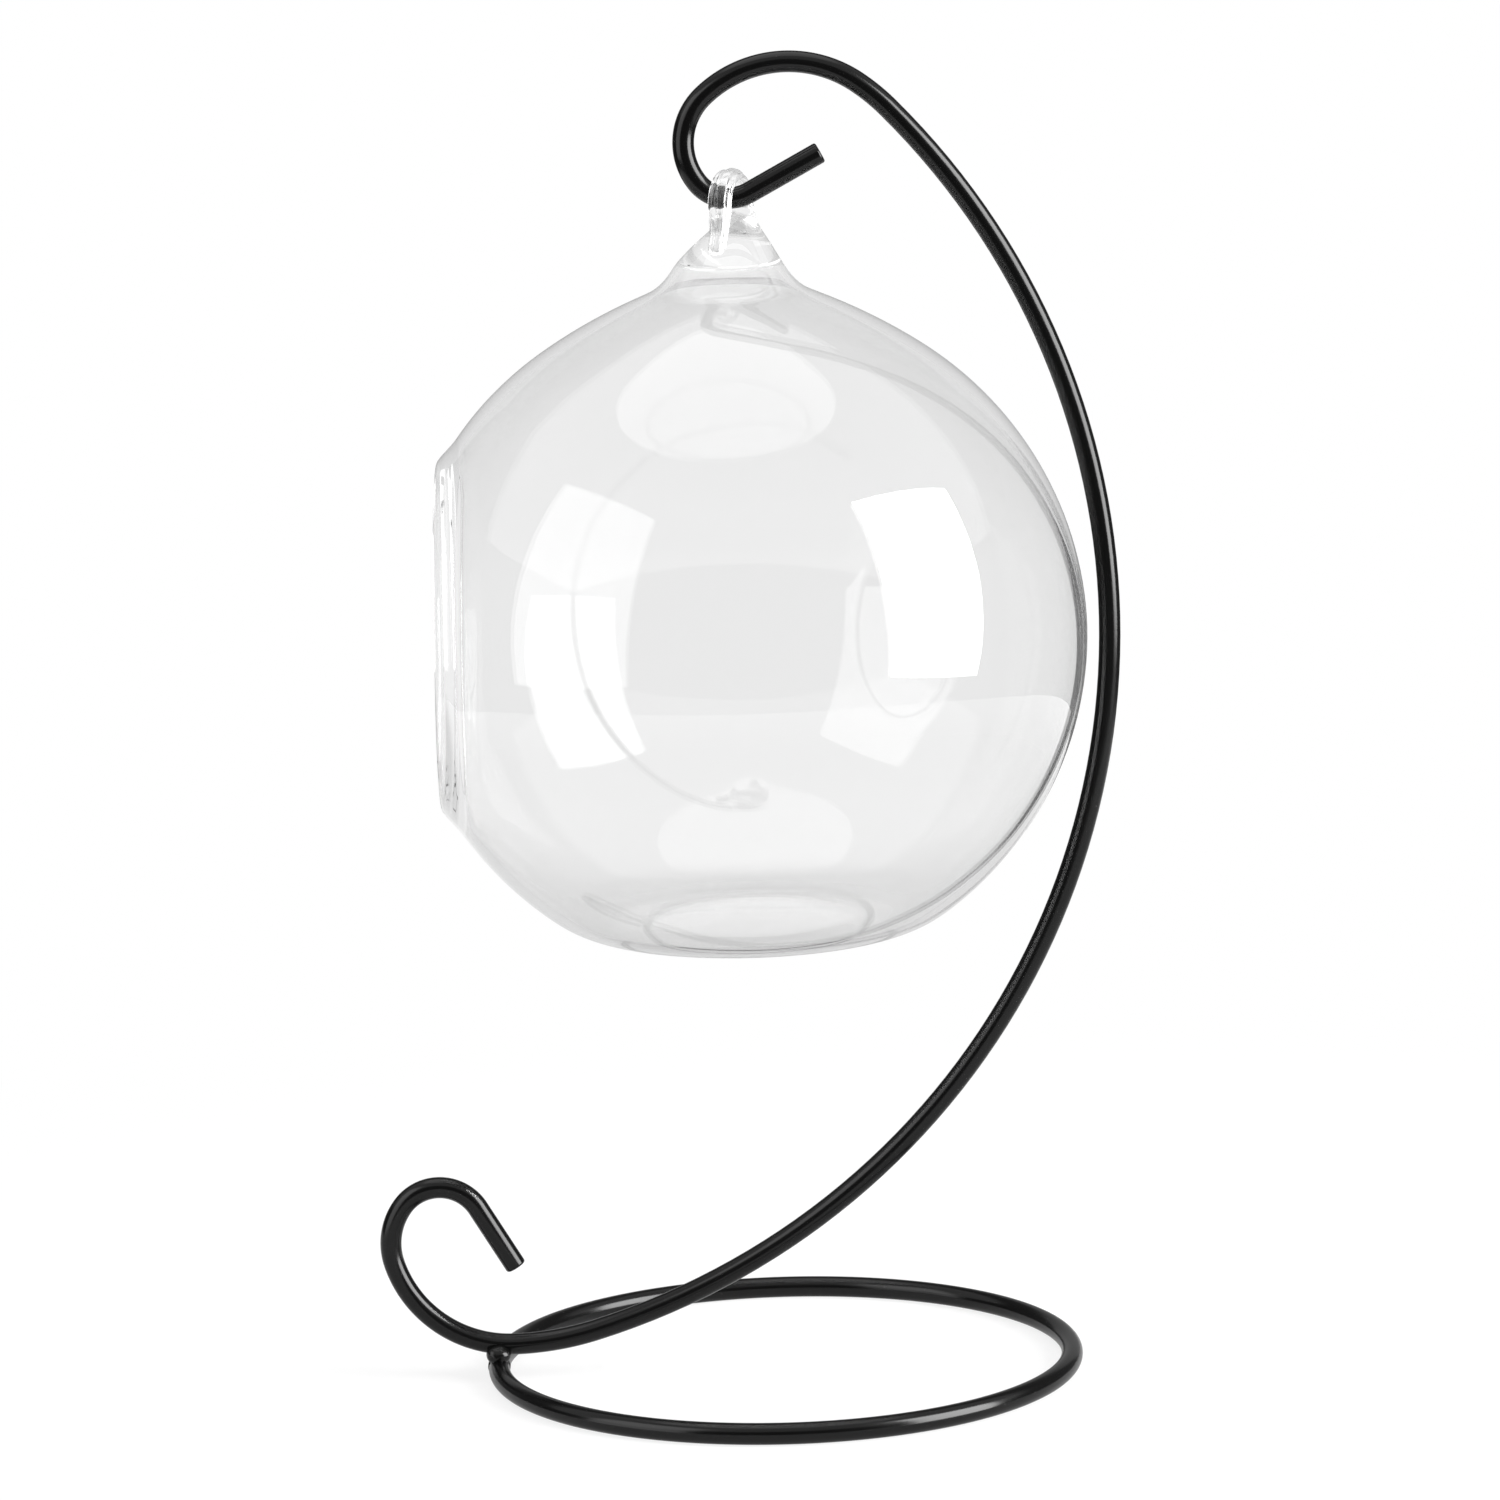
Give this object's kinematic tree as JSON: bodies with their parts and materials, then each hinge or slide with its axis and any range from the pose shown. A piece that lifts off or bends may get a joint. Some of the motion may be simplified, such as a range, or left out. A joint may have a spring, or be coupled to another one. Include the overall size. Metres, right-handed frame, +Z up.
{
  "type": "hanging glass vase",
  "caption": "Clear glass globe vase with a round side mouth, hung by its glass loop on the hook of a black bent-wire stand with a ring base.",
  "frame": {"origin": "on the table, under the middle of the part's box", "axes": "+Z up; +X to the right in the plane of the bent wire, away from the vase's mouth; +Y away from the viewer"},
  "size_m": [0.1332, 0.1198, 0.2331],
  "materials": {
    "black_wire": "satin black powder coat on iron wire",
    "black_weld": "satin black powder coat over weld metal",
    "clear_glass": "clear fire-polished blown glass"
  },
  "bodies": {
    "stand": {"arm_wire": "black_wire", "base_ring": "black_wire", "ring_seam_weld": "black_weld", "weld_bead_front": "black_weld", "weld_bead_rear": "black_weld"},
    "vase": {"glass_globe": "clear_glass", "neck_knob": "clear_glass", "hanging_loop": "clear_glass"}
  },
  "joints": [
    {"name": "vase_swing", "type": "hinge", "parent": "stand", "child": "vase", "pos_m": [0.00084, 0, 0.20803], "axis": [1, 0, 0], "range_deg": [-45, 45]}
  ]
}
